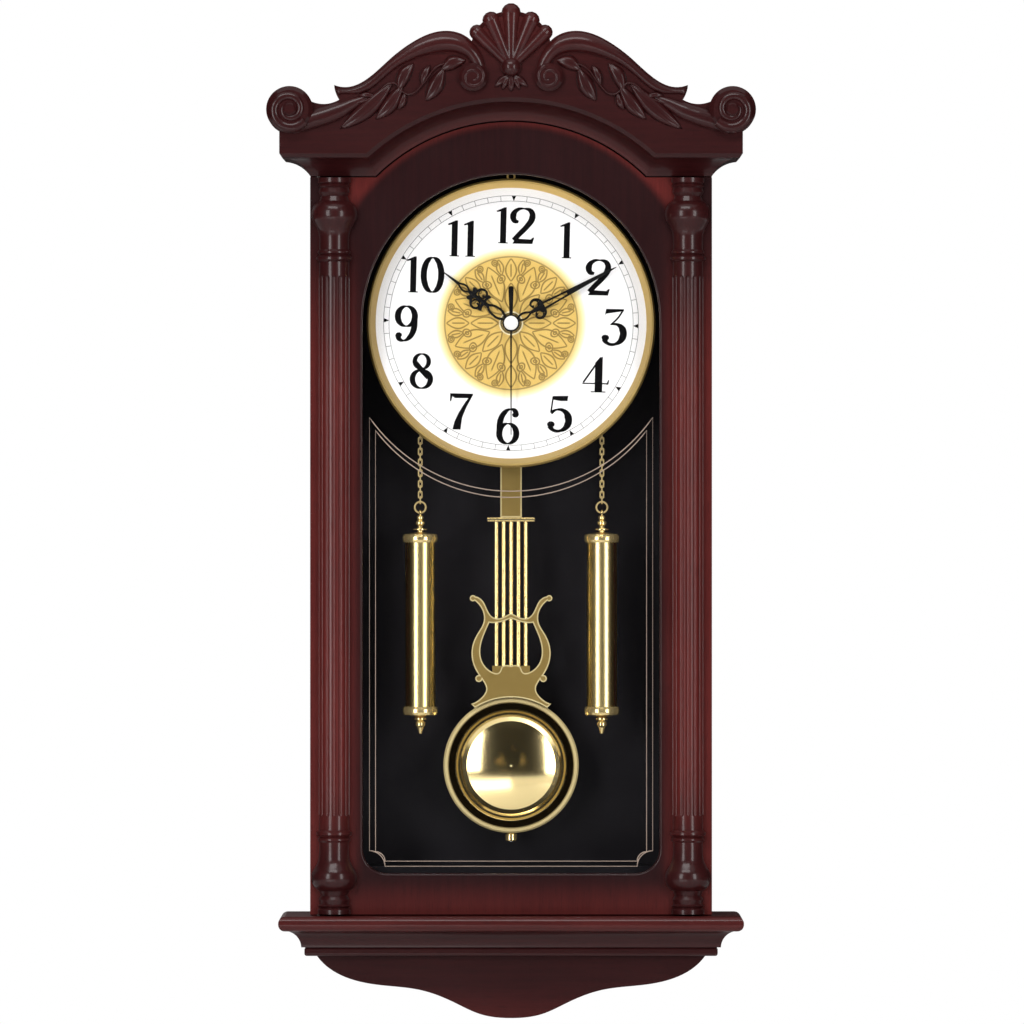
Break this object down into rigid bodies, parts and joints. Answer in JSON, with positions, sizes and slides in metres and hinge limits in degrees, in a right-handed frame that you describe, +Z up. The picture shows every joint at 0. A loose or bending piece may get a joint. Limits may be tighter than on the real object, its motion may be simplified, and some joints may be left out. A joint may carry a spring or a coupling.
{
  "type": "pendulum wall clock",
  "caption": "Wood-cased wall clock with carved crown, fluted half columns, glazed door, lyre pendulum and two hanging cylinders.",
  "frame": {"origin": "centre of the hanger plate's hole on the wall plane", "axes": "+Z up, +Y into the wall, the dial faces -Y, +X to the right seen from the front"},
  "size_m": [0.3612, 0.1208, 0.7498],
  "materials": {
    "mahogany": "glossy",
    "black_panel": "satin",
    "fibre_board": "matte",
    "ivory_dial": "satin",
    "brass": "polished",
    "steel": "satin",
    "turned_pillar": "matte",
    "black_plastic": "matte",
    "white_plastic": "satin",
    "black_hand": "gloss",
    "white_cap": "gloss",
    "glass": "clear",
    "circuit": "gloss",
    "copper_wire": "gloss",
    "cell": "gloss"
  },
  "bodies": {
    "case": {"back_board": "black_panel", "base_moulding": "mahogany", "shelf": "mahogany", "apron": "mahogany", "battery": "cell", "battery_contacts": "steel", "bezel": "brass", "bush_nut": "brass", "case_ends": "black_panel", "case_side_left": "mahogany", "case_side_right": "mahogany", "catch_magnet": "steel", "centre_bush": "brass", "chain_hooks": "steel", "circuit_board": "circuit", "coils": "copper_wire", "crest_scrolls": "mahogany", "crown_board": "mahogany", "crown_sides": "mahogany", "dial_board": "fibre_board", "dial_pillars": "turned_pillar", "dial_plate": "ivory_dial", "hanger_plate": "steel", "movement_case": "black_plastic", "movement_cover": "black_plastic", "shell_finial": "mahogany", "stator": "steel", "volutes": "mahogany"},
    "door": {"door_frame": "mahogany", "door_glass": "glass", "door_hardware": "steel", "glass_bead": "mahogany", "column_left": "mahogany", "column_right": "mahogany"},
    "minute": {"minute_wheel": "white_plastic", "minute_hand": "black_hand"},
    "hour": {"hour_wheel": "white_plastic", "hour_hand": "black_hand"},
    "second": {"second_wheel": "white_plastic", "second_hand": "black_hand", "hand_cap": "white_cap"},
    "third": {"third_wheel": "white_plastic"},
    "step": {"step_wheel": "white_plastic"},
    "rotor": {"rotor": "white_plastic"},
    "motion": {"motion_wheel": "white_plastic", "setting_knob": "white_plastic"},
    "pendulum": {"suspension_arm": "black_plastic", "pendulum_strip": "brass", "lyre_grid": "brass", "lyre_plate": "brass", "pendulum_bob": "brass", "bob_rod": "steel", "rating_nut": "brass"},
    "weight_left": {"weight_tube_left": "brass", "weight_caps_left": "brass", "weight_chain_left": "brass"},
    "weight_right": {"weight_tube_right": "brass", "weight_caps_right": "brass", "weight_chain_right": "brass"}
  },
  "joints": [
    {"name": "door_hinge", "type": "hinge", "parent": "case", "child": "door", "pos_m": [-0.1426, -0.084, -0.2505], "axis": [0, 0, -1], "range_deg": [0, 100]},
    {"name": "minute_turn", "type": "hinge", "parent": "case", "child": "minute", "pos_m": [0, -0.05, -0.0852], "axis": [0, 1, 0], "continuous": true},
    {"name": "hour_turn", "type": "hinge", "parent": "case", "child": "hour", "pos_m": [0, -0.05, -0.0852], "axis": [0, 1, 0], "continuous": true},
    {"name": "motion_turn", "type": "hinge", "parent": "case", "child": "motion", "pos_m": [0.01339, -0.045, -0.08637], "axis": [0, 1, 0], "continuous": true},
    {"name": "third_turn", "type": "hinge", "parent": "case", "child": "third", "pos_m": [-0.0099, -0.045, -0.0769], "axis": [0, 1, 0], "continuous": true},
    {"name": "second_turn", "type": "hinge", "parent": "case", "child": "second", "pos_m": [0, -0.045, -0.0852], "axis": [0, 1, 0], "continuous": true},
    {"name": "step_turn", "type": "hinge", "parent": "case", "child": "step", "pos_m": [0.00665, -0.045, -0.07368], "axis": [0, 1, 0], "continuous": true},
    {"name": "rotor_turn", "type": "hinge", "parent": "case", "child": "rotor", "pos_m": [0.01567, -0.045, -0.0704], "axis": [0, 1, 0], "continuous": true},
    {"name": "pendulum_swing", "type": "hinge", "parent": "case", "child": "pendulum", "pos_m": [0, -0.0356, -0.1272], "axis": [0, 1, 0], "range_deg": [-6, 6]},
    {"name": "weight_left_swing", "type": "hinge", "parent": "case", "child": "weight_left", "pos_m": [-0.0675, -0.051, -0.1472], "axis": [0, 1, 0], "range_deg": [-4, 4]},
    {"name": "weight_right_swing", "type": "hinge", "parent": "case", "child": "weight_right", "pos_m": [0.0675, -0.051, -0.1472], "axis": [0, 1, 0], "range_deg": [-4, 4]}
  ],
  "couplings": [
    {"joint": "hour_turn", "follows": "minute_turn", "ratio": 0.083333},
    {"joint": "motion_turn", "follows": "minute_turn", "ratio": -0.33333},
    {"joint": "third_turn", "follows": "minute_turn", "ratio": -8},
    {"joint": "second_turn", "follows": "minute_turn", "ratio": 60},
    {"joint": "step_turn", "follows": "minute_turn", "ratio": -360},
    {"joint": "rotor_turn", "follows": "minute_turn", "ratio": 1800}
  ]
}
